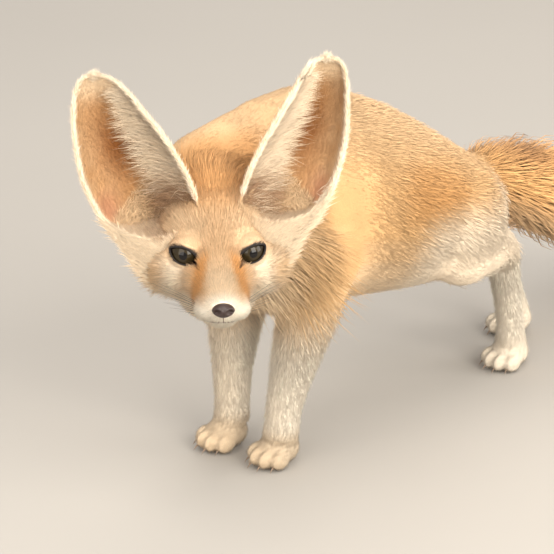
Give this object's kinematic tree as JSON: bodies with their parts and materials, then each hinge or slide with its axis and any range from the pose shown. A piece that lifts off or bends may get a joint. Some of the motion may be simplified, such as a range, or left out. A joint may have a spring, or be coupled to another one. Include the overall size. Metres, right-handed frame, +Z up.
{
  "type": "fennec fox",
  "caption": "A life-size fennec fox standing on all fours, head turned to its left, large ears raised and a bushy tail held low.",
  "frame": {"origin": "middle of the floor area under the whole animal, on the floor", "axes": "+Z up, the fox faces -Y and its left side is +X, and +Y is the longest extent, from nose to tail tip"},
  "size_m": [0.1314, 0.5484, 0.2626],
  "materials": {
    "sand_coat": "soft fur, sandy with orange tones",
    "pale_coat": "short cream fur",
    "tail": "long bushy fur, orange-tan with a black tip",
    "ear": "thin skin with short fur, pale fringe along the edge",
    "nose": "moist bare skin",
    "eye": "wet, glossy, dark iris"
  },
  "bodies": {
    "root": {"ear_left": "ear", "ear_right": "ear", "eye_left": "eye", "eye_right": "eye", "foreleg_left": "pale_coat", "foreleg_right": "pale_coat", "forepaw_left": "pale_coat", "forepaw_right": "pale_coat", "head": "sand_coat", "hindpaw_left": "pale_coat", "hindpaw_right": "pale_coat", "hips": "sand_coat", "metatarsus_left": "pale_coat", "metatarsus_right": "pale_coat", "neck": "sand_coat", "nose": "nose", "tail": "tail", "thigh_left": "sand_coat", "thigh_right": "sand_coat", "torso": "sand_coat"}
  },
  "joints": []
}
